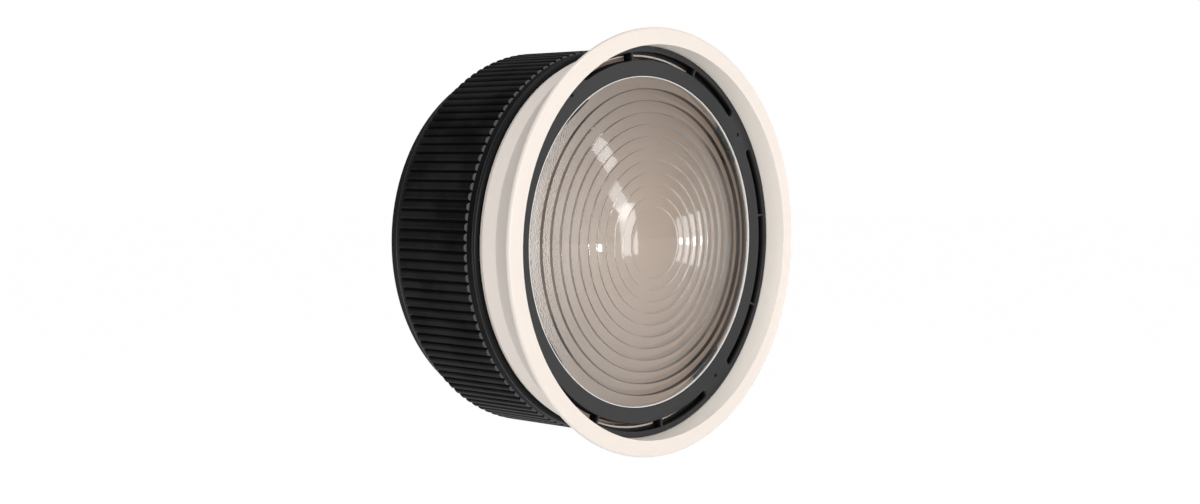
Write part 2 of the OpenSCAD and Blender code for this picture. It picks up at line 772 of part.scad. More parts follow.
// Pale gasket between lens and bezel, with a lip that lines the window
module lens_gasket() {
    color([0.85, 0.85, 0.83]) place() rotate_extrude() polygon([
        [window_r, lens_front_z],
        [lens_r - lens_edge, lens_front_z],
        [lens_r - lens_edge, bezel_back_z],
        [window_r + gasket_lip_t, bezel_back_z],
        [window_r + gasket_lip_t, bezel_z - bezel_bevel],
        [window_r, bezel_z - bezel_bevel]
    ]);
}

// Pads under the clips, a margin smaller than the clips all round
module clip_pads() {
    margin = 1;
    color([0.3, 0.3, 0.3]) place() around(clip_count, boss_at(0))
        translate([clip_in_r + margin, margin - clip_w / 2, clip_z])
            cube([lens_r - clip_in_r - 2 * margin, clip_w - 2 * margin, pad_t]);
}

// Spring-steel clip that holds the lens in the bezel's cell
module lens_clip(i) {
    corner_r = 2.5;
    color([0.12, 0.12, 0.12]) place() rotate([0, 0, boss_at(i)]) difference() {
        intersection() {
            union() {
                translate([clip_in_r + corner_r, -clip_w / 2, ear_z])
                    cube([lens_r, clip_w, clip_t]);
                translate([clip_in_r, -clip_w / 2 + corner_r, ear_z])
                    cube([lens_r, clip_w - 2 * corner_r, clip_t]);
                for (y = [-1, 1])
                    translate([clip_in_r + corner_r, y * (clip_w / 2 - corner_r), ear_z])
                        cylinder(r = corner_r, h = clip_t);
            }
            cylinder(r = boss_r, h = face_z);
        }
        translate([clip_screw_r, 0, ear_z - over])
            cylinder(r = hole_r(small_screw_d), h = clip_t + 2 * over);
    }
}

module clip_screws() {
    color([0.7, 0.7, 0.72]) place() around(clip_count, boss_at(0))
        translate([clip_screw_r, 0, ear_back_z])
            screw(small_screw_d, bezel_z - screw_cover - ear_back_z);
}

// Pin with a flat head that rests on the spigot's inside, drawn along the radius
module follower_pin(i) {
    head_r1 = sqrt(pow(spigot_in_r, 2) - pow(pin_head_d / 2, 2)) - snug;
    head_r0 = head_r1 - pin_head_h;
    color([0.72, 0.72, 0.74]) place() rotate([0, 0, roller_at(i)]) translate([0, 0, pin_z])
        rotate([0, 90, 0]) {
            translate([0, 0, head_r0]) cylinder(r = pin_head_d / 2, h = pin_head_h);
            translate([0, 0, head_r0]) cylinder(r = pin_r, h = roller_out_r - head_r0);
        }
}

module follower_roller(i) {
    color([0.78, 0.66, 0.38]) place() rotate([0, 0, roller_at(i)]) translate([0, 0, pin_z])
        rotate([0, 90, 0]) ring(pin_r + snug, roller_r, roller_in_r, roller_out_r);
}

rear_housing();
mount_plate();
bayonet_ring();
bayonet_screws();
plate_screws();
light_liner();
guide_tube();
guide_screws();
retaining_ring();
thrust_washer();
dust_seal();
focus_ring();
rubber_grip();
front_barrel();
lens_bezel();
fresnel_lens();
lens_gasket();
clip_pads();
lens_clip(0);  // lens_clip_1
lens_clip(1);  // lens_clip_2
lens_clip(2);  // lens_clip_3
lens_clip(3);  // lens_clip_4
clip_screws();
follower_pin(0);  // follower_pin_1
follower_pin(1);  // follower_pin_2
follower_pin(2);  // follower_pin_3
follower_roller(0);  // follower_roller_1
follower_roller(1);  // follower_roller_2
follower_roller(2);  // follower_roller_3
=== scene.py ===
"""Studio look of a focusing Fresnel lens attachment.

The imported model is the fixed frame.  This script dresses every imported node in
its finish, shows the lens with its moulded zones and stippled back, and sets
the floor, the lamps and the camera.

The optical axis runs along -Y, out of the lens, and +Z is up.  Lengths are in
metres unless a name ends in _mm.  A name that ends in _per_m counts the
features of a noise to the metre.
"""

from __future__ import annotations

import logging
import math
from dataclasses import dataclass
from enum import Enum
from typing import Iterable, Mapping, Optional, Sequence, Union

import bpy
from mathutils import Matrix, Quaternion, Vector


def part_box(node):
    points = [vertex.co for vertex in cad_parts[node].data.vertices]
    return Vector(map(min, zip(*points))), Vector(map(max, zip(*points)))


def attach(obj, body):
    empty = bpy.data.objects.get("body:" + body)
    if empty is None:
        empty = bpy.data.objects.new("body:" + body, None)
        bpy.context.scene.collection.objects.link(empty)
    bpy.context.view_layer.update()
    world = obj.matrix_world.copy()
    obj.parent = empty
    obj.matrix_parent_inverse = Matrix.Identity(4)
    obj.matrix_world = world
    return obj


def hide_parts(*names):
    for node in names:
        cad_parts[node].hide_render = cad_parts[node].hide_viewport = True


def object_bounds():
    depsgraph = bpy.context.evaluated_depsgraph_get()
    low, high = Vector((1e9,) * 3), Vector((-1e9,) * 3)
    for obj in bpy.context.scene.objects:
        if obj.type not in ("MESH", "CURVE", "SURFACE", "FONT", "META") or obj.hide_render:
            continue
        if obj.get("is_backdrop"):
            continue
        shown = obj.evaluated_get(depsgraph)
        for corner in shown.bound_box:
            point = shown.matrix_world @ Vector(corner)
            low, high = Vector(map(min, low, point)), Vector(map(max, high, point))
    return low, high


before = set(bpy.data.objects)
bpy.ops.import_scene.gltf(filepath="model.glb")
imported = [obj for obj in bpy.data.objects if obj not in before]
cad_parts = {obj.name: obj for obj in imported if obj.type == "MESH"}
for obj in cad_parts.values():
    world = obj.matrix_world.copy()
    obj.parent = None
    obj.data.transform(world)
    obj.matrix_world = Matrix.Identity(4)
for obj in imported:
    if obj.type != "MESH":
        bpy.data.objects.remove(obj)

LOG = logging.getLogger("fresnel_lens")
MM = 0.001
STEPPED_MM = 93.5  # radius of the lens's stepped part

Colour = tuple[float, float, float]
Point = tuple[float, float]
Span = tuple[float, float]  # where a smooth change starts and ends


# --------------------------------------------------------------- shader maths


def per_m(size_mm: float) -> float:
    """Count to the metre of features of a size in mm."""
    return 1 / (size_mm * MM)


class Ray(Enum):
    """Kinds of ray that a shader can tell apart."""

    CAMERA = "Is Camera Ray"
    GLOSSY = "Is Glossy Ray"
    THROUGH = "Is Transmission Ray"
    SHADOW = "Is Shadow Ray"


class Term:
    """A socket of a node tree that takes part in plain Python expressions."""

    def __init__(self, graph: Graph, socket: bpy.types.NodeSocket) -> None:
        """Wraps one output socket.

        Args:
            graph: the tree that holds the socket.
            socket: the output that this term stands for.
        """
        self.graph = graph
        self.socket = socket

    @property
    def holds_vector(self) -> bool:
        """True where the socket carries a vector or a colour."""
        return self.socket.type in {"VECTOR", "RGBA"}

    def _maths(self, operation: str, *values: Feed) -> Term:
        """Adds a Math node, or a Vector Math node where a value is a vector.

        Args:
            operation: the node's operation.
            values: its inputs, in order.

        Returns:
            The node's result.
        """
        on_vectors = any(isinstance(v, Term) and v.holds_vector for v in values)
        kind = "ShaderNodeVectorMath" if on_vectors else "ShaderNodeMath"
        return self.graph.node(kind, {"operation": operation}, dict(enumerate(values)))

    def __add__(self, other: Feed) -> Term:
        """Sum."""
        return self._maths("ADD", self, other)

    def __radd__(self, other: Feed) -> Term:
        """Sum, reflected."""
        return self._maths("ADD", other, self)

    def __sub__(self, other: Feed) -> Term:
        """Difference."""
        return self._maths("SUBTRACT", self, other)

    def __rsub__(self, other: Feed) -> Term:
        """Difference, reflected."""
        return self._maths("SUBTRACT", other, self)

    def __mul__(self, other: Feed) -> Term:
        """Product."""
        return self._maths("MULTIPLY", self, other)

    def __rmul__(self, other: Feed) -> Term:
        """Product, reflected."""
        return self._maths("MULTIPLY", other, self)

    def __truediv__(self, other: Feed) -> Term:
        """Quotient."""
        return self._maths("DIVIDE", self, other)

    def __rtruediv__(self, other: Feed) -> Term:
        """Quotient, reflected."""
        return self._maths("DIVIDE", other, self)

    def __pow__(self, other: Feed) -> Term:
        """Power."""
        return self._maths("POWER", self, other)

    def __rpow__(self, other: Feed) -> Term:
        """Power, reflected."""
        return self._maths("POWER", other, self)

    def __neg__(self) -> Term:
        """The same value with the other sign."""
        return -1.0 * self

    def largest(self, other: Feed) -> Term:
        """The larger of two values."""
        return self._maths("MAXIMUM", self, other)

    def ramp(self, low: float, high: float) -> Term:
        """Smooth rise from 0 at one value to 1 at another.

        Args:
            low: the value at which the rise starts.
            high: the value at which it ends.

        Returns:
            The share, clamped to 0 and 1.
        """
        return self.graph.node(
            "ShaderNodeMapRange",
            {"interpolation_type": "SMOOTHSTEP"},
            {"Value": self, "From Min": low, "From Max": high},
        )

    def over(self, span_mm: Span) -> Term:
        """Smooth rise of a length in metres over a span in mm."""
        return self.ramp(span_mm[0] * MM, span_mm[1] * MM)


# What an input of a node takes, and inputs by their name or place.
Feed = Union[Term, float, Sequence[float]]
Sockets = Mapping[Union[str, int], Feed]


class Graph:
    """The node tree of one material or world."""

    def __init__(self, owner: Union[bpy.types.Material, bpy.types.World]) -> None:
        """Empties the owner's tree and keeps it.

        Args:
            owner: the material or world whose tree is built.
        """
        owner.use_nodes = True
        self.tree = owner.node_tree
        self.tree.nodes.clear()

    def _add(
        self,
        kind: str,
        settings: Optional[Mapping[str, object]] = None,
        inputs: Optional[Sockets] = None,
    ) -> bpy.types.Node:
        """Adds a node, sets it up and fills its inputs.

        Args:
            kind: the node's type name.
            settings: properties that are set first, such as an operation.
            inputs: the value or link of each socket, by name or by place.

        Returns:
            The new node.
        """
        made = self.tree.nodes.new(kind)
        for name, value in (settings or {}).items():
            setattr(made, name, value)
        for place, value in (inputs or {}).items():
            self._feed(made.inputs[place], value)
        return made

    def _feed(self, socket: bpy.types.NodeSocket, value: Feed) -> None:
        """Links a term to a socket, or sets a plain value on it.

        Args:
            socket: the input to fill.
            value: a term, a number, a vector or a colour.
        """
        if isinstance(value, Term):
            self.tree.links.new(value.socket, socket)
        elif socket.type in {"VECTOR", "RGBA"}:
            size = len(socket.default_value)
            single = isinstance(value, (int, float))
            socket.default_value = [value] * size if single else [*value, 1.0][:size]
        else:
            socket.default_value = float(value)

    def node(
        self,
        kind: str,
        settings: Optional[Mapping[str, object]] = None,
        inputs: Optional[Sockets] = None,
        output: Union[str, int] = 0,
    ) -> Term:
        """Adds any node whose output is used.

        Args:
            kind: the node's type name.
            settings: properties that are set first, such as an operation.
            inputs: the value or link of each socket, by name or by place.
            output: the output that is returned, by name or by place.

        Returns:
            The chosen output as a term.
        """
        return Term(self, self._add(kind, settings, inputs).outputs[output])

    def parts(self, vector: Term) -> tuple[Term, ...]:
        """X, Y and Z of a vector."""
        split = self._add("ShaderNodeSeparateXYZ", inputs={0: vector})
        return tuple(Term(self, output) for output in split.outputs)

    def place(self) -> Term:
        """Position in the frame's own axes, in metres."""
        return self.node("ShaderNodeTexCoord", output="Object")

    def facing(self) -> Term:
        """Direction that the surface faces before any bump."""
        return self.node("ShaderNodeNewGeometry", output="True Normal")

    def turned_place(self) -> tuple[Term, Term]:
        """Gives the place as on a lathe.

        Returns:
            The radius from the optical axis, and the place along it, in metres.
        """
        x, y, z = self.parts(self.place())
        return (x * x + z * z) ** 0.5, y

    def outwards(self) -> Term:
        """Compares the way the surface faces with the way out from the optical axis.

        Returns:
            1 where it faces straight out, -1 where it faces the axis.
        """
        x, _, z = self.parts(self.place())
        right, _, up = self.parts(self.facing())
        return (x * right + z * up) / (x * x + z * z) ** 0.5

    def ray(self, kind: Ray) -> Term:
        """1 on rays of a kind, and 0 on all others."""
        return self.node("ShaderNodeLightPath", output=kind.value)

    def noise(self, where: Term, scale: float, detail: float = 2.0) -> Term:
        """Noise from 0 to 1.

        Args:
            where: the coordinates.
            scale: how many features one metre holds.
            detail: octaves of finer noise.

        Returns:
            The noise value.
        """
        inputs = {"Vector": where, "Scale": scale, "Detail": detail}
        return self.node("ShaderNodeTexNoise", inputs=inputs)

    def blend(self, share: Feed, first: Feed, second: Feed) -> Term:
        """Mixes two colours.

        Args:
            share: how much of the second colour shows.
            first: the colour at a share of 0.
            second: the colour at a share of 1.

        Returns:
            The mixed colour.
        """
        # The node names its number, vector and colour sockets alike, so they
        # are told apart by place.
        factor, first_colour, second_colour, mixed_colour = 0, 6, 7, 2
        inputs = {factor: share, first_colour: first, second_colour: second}
        return self.node("ShaderNodeMix", {"data_type": "RGBA"}, inputs, mixed_colour)

    def bump(self, height: Term, depth_mm: float) -> Term:
        """Normal of a surface that rises by a height.

        Args:
            height: the height, from 0 to 1.
            depth_mm: what a height of 1 stands for.

        Returns:
            The bumped normal.
        """
        inputs = {"Height": height, "Distance": depth_mm * MM, "Strength": 1.0}
        return self.node("ShaderNodeBump", inputs=inputs)

    def mix_shaders(self, share: Feed, first: Term, second: Term) -> Term:
        """Mixes two shaders.

        Args:
            share: how much of the second shader shows.
            first: the shader at a share of 0.
            second: the shader at a share of 1.

        Returns:
            The mixed shader.
        """
        return self.node("ShaderNodeMixShader", inputs={0: share, 1: first, 2: second})

    def show(self, shader: Term, kind: str = "ShaderNodeOutputMaterial") -> None:
        """Ends the tree in a shader.

        Args:
            shader: what the output shows.
            kind: the output node's type name.
        """
        self._add(kind, inputs={"Surface": shader})


# ------------------------------------------------------------------- finishes


@dataclass(frozen=True)
class Finish:
    """A plain, even finish, and what the others share.

    Attributes:
        name: name of the material.
        colour: its base colour.
        roughness: its roughness, or the mean where that is uneven.
        metallic: 1 for bare metal.
        specular: how much it reflects, where 0.5 is common.
    """

    name: str
    colour: Colour
    roughness: float
    metallic: float = 0.0
    specular: float = 0.5

    def material(self) -> bpy.types.Material:
        """Builds the finish as a material.

        Returns:
            The new material.
        """
        made = bpy.data.materials.new(self.name)
        made.diffuse_color = (*self.colour, 1.0)
        graph = Graph(made)
        graph.show(self.shader(graph))
        return made

    def shader(self, graph: Graph) -> Term:
        """Shader of the finish, built in a tree."""
        return self.surface(graph, self.colour, self.roughness)

    def constants(self) -> Sockets:
        """Sockets that keep one value all over the surface."""
        return {"Metallic": self.metallic, "Specular IOR Level": self.specular}

    def surface(
        self, graph: Graph, tone: Feed, roughness: Feed, normal: Optional[Term] = None
    ) -> Term:
        """Adds the Principled shader.

        Args:
            graph: the tree to build in.
            tone: the base colour.
            roughness: the roughness.
            normal: the bumped normal, or None for a smooth surface.

        Returns:
            The shader.
        """
        inputs = {**self.constants(), "Base Color": tone, "Roughness": roughness}
        if normal is not None:
            inputs["Normal"] = normal
        return graph.node("ShaderNodeBsdfPrincipled", inputs=inputs)

    def shaded(self, share: float) -> Colour:
        """The finish's colour, paler for a share above 1 and darker below it."""
        return tuple(channel * share for channel in self.colour)

    def uneven(self, noise: Term, swing: float) -> Term:
        """Roughness that a noise moves about its mean by up to half a swing."""
        return self.roughness + swing * (noise - 0.5)


@dataclass(frozen=True)
class Enamel(Finish):
    """Sprayed paint: faint orange peel, uneven gloss, a trace of dust.

    Attributes:
        shade: how much darker the darkest patches are.
        patches_per_m: scale of the patches.
        dust_per_m: scale of the dust.
        dust_share: how much of the change in colour is dust.
        peel_mm: width of a dimple of the orange peel.
        peel_depth_mm: depth of a dimple.
        gloss_swing: how far the roughness moves from patch to patch.
    """

    shade: float = 0.03
    patches_per_m: float = 22.0
    dust_per_m: float = 1500.0
    dust_share: float = 0.3
    peel_mm: float = 1.4
    peel_depth_mm: float = 0.012
    gloss_swing: float = 0.1

    def tone(self, graph: Graph, paint: Feed) -> Feed:
        """Colour of the whole piece, given the colour of its paint."""
        return paint

    def shader(self, graph: Graph) -> Term:
        """Builds the paint.

        Args:
            graph: the tree to build in.

        Returns:
            The shader.
        """
        where = graph.place()
        patches = graph.noise(where, self.patches_per_m, detail=3)
        dust = graph.noise(where, self.dust_per_m, detail=1)
        peel = graph.noise(where, per_m(self.peel_mm), detail=1.5)
        change = patches * (1 - self.dust_share) + dust * self.dust_share
        paint = graph.blend(change, self.colour, self.shaded(1 - self.shade))
        return self.surface(
            graph,
            self.tone(graph, paint),
            self.uneven(patches, self.gloss_swing),
            graph.bump(peel, self.peel_depth_mm),
        )


@dataclass(frozen=True)
class Casting(Enamel):
    """The enamelled barrel, with painted light on walls that face out or into the front recess, and
    painted shade inside.

    Attributes:
        ledge_mm: stretch of the axis, at the bezel's ledge, where the painted shade of the inside
            starts.
        black_painted_shade_mm: stretch of the axis where the black painted shade gives way.
        step_mm: stretch of the axis where the bore narrows to the spigot.
        bore_mm: radii from the bore's inside to its wall.
        spigot_mm: radii from the spigot's inside to its wall.
        facing: how far out or in a wall faces before it takes its tone of painted light.
        outward_painted_light: painted light, a paler tone on walls that face out.
        recess_painted_light: painted light, a paler tone on the walls of the front recess, which
            face in.
        inside_painted_shade: painted shade on the inside.
        black: black painted shade on the inside close behind the bezel.
    """

    ledge_mm: Span = (-121.4, -121.2)
    black_painted_shade_mm: Span = (-112.0, -110.0)
    step_mm: Span = (-104.5, -103.5)
    bore_mm: Span = (105.8, 106.1)
    spigot_mm: Span = (95.0, 95.4)
    facing: Span = (0.2, 0.6)
    outward_painted_light: Colour = (0.79, 0.72, 0.66)
    recess_painted_light: Colour = (0.97, 0.905, 0.83)
    inside_painted_shade: Colour = (0.54, 0.435, 0.36)
    black: Colour = (0.006, 0.006, 0.006)

    def tone(self, graph: Graph, paint: Feed) -> Feed:
        """Blends painted light and painted shade into the paint.

        Args:
            graph: the tree to build in.
            paint: colour of the front face.

        Returns:
            The colour of the whole casting.
        """
        radius, y = graph.turned_place()
        # Painted shade: the inside of the bore and the spigot, behind the ledge, turns dark, and
        # black close behind the bezel.
        spigot = 1.0 - radius.over(self.spigot_mm)
        bore = (1.0 - radius.over(self.bore_mm)) * (1.0 - y.over(self.step_mm))
        inside = y.over(self.ledge_mm) * spigot.largest(bore)
        inner = graph.blend(y.over(self.black_painted_shade_mm), self.black, self.inside_painted_shade)
        # Painted light: walls that face out or into the front recess get paler tones.
        outwards = graph.outwards()
        paint = graph.blend(outwards.ramp(*self.facing), paint, self.outward_painted_light)
        paint = graph.blend((-outwards).ramp(*self.facing), paint, self.recess_painted_light)
        return graph.blend(inside, paint, inner)


@dataclass(frozen=True)
class Moulded(Finish):
    """Moulded plastic or rubber with a fine spark-eroded grain.

    Attributes:
        grain_mm: width of the grain.
        grain_depth_mm: its depth.
        grain_swing: how far the roughness moves with the grain.
        bloom: how much paler the bloomed patches are.
        bloom_per_m: scale of the patches.
        bloomed: noise values between which a patch comes in.
        slot_painted_shade_mm: stretch of the axis behind the face over which painted shade turns it
            black.
        slot_painted_shade: painted shade in the depth of its slots.
    """

    grain_mm: float = 0.5
    grain_depth_mm: float = 0.03
    grain_swing: float = 0.12
    bloom: float = 0.35
    bloom_per_m: float = 35.0
    bloomed: Span = (0.3, 0.75)
    slot_painted_shade_mm: Optional[Span] = None
    slot_painted_shade: Colour = (0.002, 0.002, 0.002)

    def shader(self, graph: Graph) -> Term:
        """Builds the moulded surface.

        Args:
            graph: the tree to build in.

        Returns:
            The shader.
        """
        where = graph.place()
        grain = graph.noise(where, per_m(self.grain_mm))
        patches = graph.noise(where, self.bloom_per_m, detail=3)
        tone = graph.blend(patches.ramp(*self.bloomed), self.colour, self.shaded(1 + self.bloom))
        # Painted shade: the slots turn black with depth behind the face.
        if self.slot_painted_shade_mm is not None:
            _, y = graph.turned_place()
            tone = graph.blend(y.over(self.slot_painted_shade_mm), tone, self.slot_painted_shade)
        return self.surface(
            graph,
            tone,
            self.uneven(grain, self.grain_swing),
            graph.bump(grain, self.grain_depth_mm),
        )


@dataclass(frozen=True)
class RibbedRubber(Finish):
    """Grip rubber: crowns paler from wear and painted sheen, a painted glint on the front ends of
    the ribs, dull grooves.

    Attributes:
        crown_mm: radii from the foot of a rib to its crown.
        crown_wear_and_sheen: colour of a handled crown, paler partly from wear and partly as
            painted sheen.
        crown_polish: how much smoother the crowns are.
        wear_per_m: scale of the handled patches.
        worn: noise values between which a patch comes in.
        wear_swing: how far the roughness moves from patch to patch.
        glint_mm: radii over which the painted glint on the end of a rib comes in.
        glint_facing: how far forwards a face looks before it gets the painted glint.
        painted_glint_colour: painted glint on the forward-facing ends of the ribs.
        grain_per_m: scale of the grain.
        grain_depth_mm: its depth.
    """

    crown_mm: Span = (108.6, 110.2)
    crown_wear_and_sheen: Colour = (0.012, 0.012, 0.0125)
    crown_polish: float = 0.14
    wear_per_m: float = 40.0
    worn: Span = (0.3, 0.7)
    wear_swing: float = 0.1
    glint_mm: Span = (108.6, 109.2)
    glint_facing: Span = (0.3, 0.6)
    painted_glint_colour: Colour = (0.085, 0.085, 0.089)
    grain_per_m: float = 2600.0
    grain_depth_mm: float = 0.02

    def shader(self, graph: Graph) -> Term:
        """Builds the rubber.

        Args:
            graph: the tree to build in.

        Returns:
            The shader.
        """
        where = graph.place()
        radius, _ = graph.turned_place()
        _, backwards, _ = graph.parts(graph.facing())
        crown = radius.over(self.crown_mm)
        handled = graph.noise(where, self.wear_per_m, detail=3)
        grain = graph.noise(where, self.grain_per_m)
        # Painted glint on the front ends of the ribs, where faces look forwards.
        glint_mask = (-backwards).ramp(*self.glint_facing) * radius.over(self.glint_mm)
        # Crowns paler in worn patches: partly wear, partly painted sheen.
        tone = graph.blend(crown * handled.ramp(*self.worn), self.colour, self.crown_wear_and_sheen)
        return self.surface(
            graph,
            graph.blend(glint_mask, tone, self.painted_glint_colour),
            self.uneven(handled, self.wear_swing) - self.crown_polish * crown,
            graph.bump(grain, self.grain_depth_mm),
        )


@dataclass(frozen=True)
class Turned(Finish):
    """Metal from the lathe: fine lines run round the optical axis.

    Attributes:
        line_mm: distance between lines.
        line_depth_mm: their depth.
        line_share: how much of the change in colour is lines.
        line_swing: how far the roughness moves with the lines.
        patches_per_m: scale of the patches.
        patch_swing: how far the roughness moves from patch to patch.
        streak: how much darker the darkest lines and patches are.
    """

    line_mm: float = 0.22
    line_depth_mm: float = 0.004
    line_share: float = 0.6
    line_swing: float = 0.14
    patches_per_m: float = 60.0
    patch_swing: float = 0.08
    streak: float = 0.12

    def shader(self, graph: Graph) -> Term:
        """Builds the turned metal.

        Args:
            graph: the tree to build in.

        Returns:
            The shader.
        """
        radius, y = graph.turned_place()
        track = graph.node("ShaderNodeCombineXYZ", inputs={0: radius, 1: y})
        lines = graph.noise(track, per_m(self.line_mm))
        patches = graph.noise(graph.place(), self.patches_per_m, detail=3)
        change = lines * self.line_share + patches * (1 - self.line_share)
        return self.surface(
            graph,
            graph.blend(change, self.colour, self.shaded(1 - self.streak)),
            self.uneven(lines, self.line_swing) + self.patch_swing * (patches - 0.5),
            graph.bump(lines, self.line_depth_mm),
        )


@dataclass(frozen=True)
class Felt(Finish):
    """Pressed wool with loose fibres.

    Attributes:
        fibres_per_m: scale of the fibres.
        fibre_depth_mm: how far they stand up.
        sheen: how much brighter a loose fibre is, as a multiple.
    """

    fibres_per_m: float = 1800.0
    fibre_depth_mm: float = 0.15
    sheen: float = 1.8

    def shader(self, graph: Graph) -> Term:
        """Builds the felt.

        Args:
            graph: the tree to build in.

        Returns:
            The shader.
        """
        fibres = graph.noise(graph.place(), self.fibres_per_m, detail=4)
        tone = graph.blend(fibres, self.colour, self.shaded(self.sheen))
        normal = graph.bump(fibres, self.fibre_depth_mm)
        return self.surface(graph, tone, self.roughness, normal)


@dataclass(frozen=True)
class Glass(Finish):
    """Moulded glass that lets the lamps light what is behind it.

    Attributes:
        index: its index of refraction.
        rim_painted_shade: painted shade that darkens the glass towards the rim, where set.
        flow_per_m: scale of the shallow waves that the mould leaves.
        rings_per_m: scale of the rings among them.
        ring_share: how much of the relief is rings.
        flow_depth_mm: depth of the relief.
    """

    index: float = 1.47
    rim_painted_shade: Optional[Colour] = None
    flow_per_m: float = 160.0
    rings_per_m: float = 900.0
    ring_share: float = 0.1
    flow_depth_mm: float = 0.03

    def constants(self) -> Sockets:
        """Sockets that keep one value all over the glass."""
        return {**super().constants(), "Transmission Weight": 1.0, "IOR": self.index}

    def tint_with_rim_shade(self, graph: Graph) -> Feed:
        """Chooses the colour of the glass, with painted shade towards the rim where set.

        Args:
            graph: the tree to build in.

        Returns:
            One colour, or a blend from the middle into painted shade at the rim.
        """
        if self.rim_painted_shade is None:
            return self.colour
        # Painted shade: the glass darkens towards the rim.
        radius, _ = graph.turned_place()
        return graph.blend(radius.over((0.0, STEPPED_MM)), self.colour, self.rim_painted_shade)

    def relief(self, graph: Graph) -> Term:
        """Builds the fire-polished front: shallow waves and rings.

        Args:
            graph: the tree to build in.

        Returns:
            The bumped normal.
        """
        radius, _ = graph.turned_place()
        track = graph.node("ShaderNodeCombineXYZ", inputs={0: radius})
        waves = graph.noise(graph.place(), self.flow_per_m)
        rings = graph.noise(track, self.rings_per_m)
        flow = waves * (1 - self.ring_share) + rings * self.ring_share
        return graph.bump(flow, self.flow_depth_mm)

    def shader(self, graph: Graph) -> Term:
        """Builds the glass, which casts only a tinted shadow.

        Args:
            graph: the tree to build in.

        Returns:
            The shader.
        """
        body = self.surface(graph, self.tint_with_rim_shade(graph), self.roughness, self.relief(graph))
        clear = graph.node("ShaderNodeBsdfTransparent", inputs={0: self.colour})
        return graph.mix_shaders(graph.ray(Ray.SHADOW), body, clear)


@dataclass(frozen=True)
class StippledGlass(Glass):
    """Back of the lens, covered in small moulded pips that soften the beam.

    Attributes:
        pip_mm: distance between pips.
        pip_depth_mm: their height.
        pip_softness: how softly one runs into the next.
    """

    pip_mm: float = 0.8
    pip_depth_mm: float = 0.035
    pip_softness: float = 0.6

    def relief(self, graph: Graph) -> Term:
        """Builds the pips.

        Args:
            graph: the tree to build in.

        Returns:
            The bumped normal.
        """
        inputs = {
            "Vector": graph.place(),
            "Scale": per_m(self.pip_mm),
            "Smoothness": self.pip_softness,
        }
        pips = graph.node("ShaderNodeTexVoronoi", {"feature": "SMOOTH_F1"}, inputs)
        return graph.bump(pips, self.pip_depth_mm)


CREAM = Casting("cream enamel", (0.755, 0.675, 0.61), 0.42)
LINER = Enamel("liner enamel", (0.67, 0.55, 0.465), 0.6, peel_mm=0.9)
BLACK_ENAMEL = Enamel(
    "black enamel", (0.006, 0.006, 0.0065), 0.5, specular=0.15, shade=-0.3, peel_mm=0.8
)
CHARCOAL = Moulded(
    "charcoal bezel",
    (0.024, 0.024, 0.0255),
    0.5,
    specular=0.22,
    grain_mm=0.35,
    bloom=0.15,
    # painted shade deep in the bezel's slots
    slot_painted_shade_mm=(-126.7, -125.3),
)
ANODISED = Turned("black anodised", (0.006, 0.006, 0.0065), 0.38, specular=0.18, streak=0.3)
RUBBER = RibbedRubber("grip rubber", (0.002, 0.002, 0.0024), 0.6, specular=0.06)
SOFT_RUBBER = Moulded("soft rubber", (0.02, 0.02, 0.02), 0.7, grain_mm=0.3)
SILICONE = Moulded("pale silicone", (0.82, 0.81, 0.79), 0.35, grain_mm=0.4, bloom=0.05)
PLATE_STEEL = Turned("turned steel", (0.52, 0.53, 0.54), 0.3, metallic=1.0)
SCREW_STEEL = Turned("zinc plated steel", (0.6, 0.6, 0.58), 0.27, metallic=1.0, line_mm=0.1)
SPRING_STEEL = Enamel("blackened steel", (0.008, 0.008, 0.009), 0.5, shade=-0.4, peel_mm=0.3)
BRASS = Turned("turned brass", (0.66, 0.46, 0.17), 0.28, metallic=1.0, line_mm=0.1)
NYLON = Moulded("natural nylon", (0.76, 0.74, 0.66), 0.5, bloom=0.05)
FELT = Felt("grey felt", (0.03, 0.03, 0.03), 0.95)


class LensGlass(Enum):
    """Surfaces of the lens, in the order of its material slots."""

    FRONT = Glass("lens glass", (0.97, 0.945, 0.915), 0.03)
    # The stippled back darkens towards the rim: painted shade.
    BACK = StippledGlass(
        "stippled glass", (0.97, 0.945, 0.915), 0.45, rim_painted_shade=(0.34, 0.29, 0.23)
    )
    # Riser glass is darker than the front glass, and near black towards the rim: painted shade on
    # the risers.
    RISER = Glass("riser glass", (0.8, 0.78, 0.76), 0.4, rim_painted_shade=(0.1, 0.1, 0.1))


# --------------------------------------------------------------- turned forms

ROUNDING_STEPS = 4  # stretches of one rounded corner
ROUNDING_SHARE = 0.45  # most of an edge that one rounding may take


def between(start: float, end: float, steps: int) -> list[float]:
    """Evenly spaced values.

    Args:
        start: the first value.
        end: the last value.
        steps: how many stretches lie between them.

    Returns:
        steps + 1 values.
    """
    return [start + (end - start) * i / steps for i in range(steps + 1)]


def turn_at(before: Point, corner: Point, after: Point) -> float:
    """Angle in radians by which a line turns at a corner."""
    here = Vector(corner)
    return (here - Vector(before)).angle(Vector(after) - here)


def softened(outline: Sequence[Point], radius: float, least_turn: float) -> list[Point]:
    """Rounds the sharp corners of an outline and leaves its gentle bends.

    Args:
        outline: points of an open line.
        radius: radius of the rounding.
        least_turn: turn in radians from which a corner counts as sharp.

    Returns:
        The points of the rounded outline.
    """
    made: list[Point] = [outline[0]]
    for before, corner, after in zip(outline, outline[1:], outline[2:]):
        turn = turn_at(before, corner, after)
        if turn < least_turn:
            made.append(corner)
            continue
        here = Vector(corner)
        way_in, way_out = here - Vector(before), Vector(after) - here
        room = ROUNDING_SHARE * min(way_in.length, way_out.length)
        reach = min(radius * math.tan(turn / 2), room)
        first = here - way_in.normalized() * reach
        last = here + way_out.normalized() * reach
        for t in between(0, 1, ROUNDING_STEPS):
            spot = first * (1 - t) ** 2 + here * 2 * t * (1 - t) + last * t * t
            made.append((spot.x, spot.y))
    made.append(outline[-1])
    return made


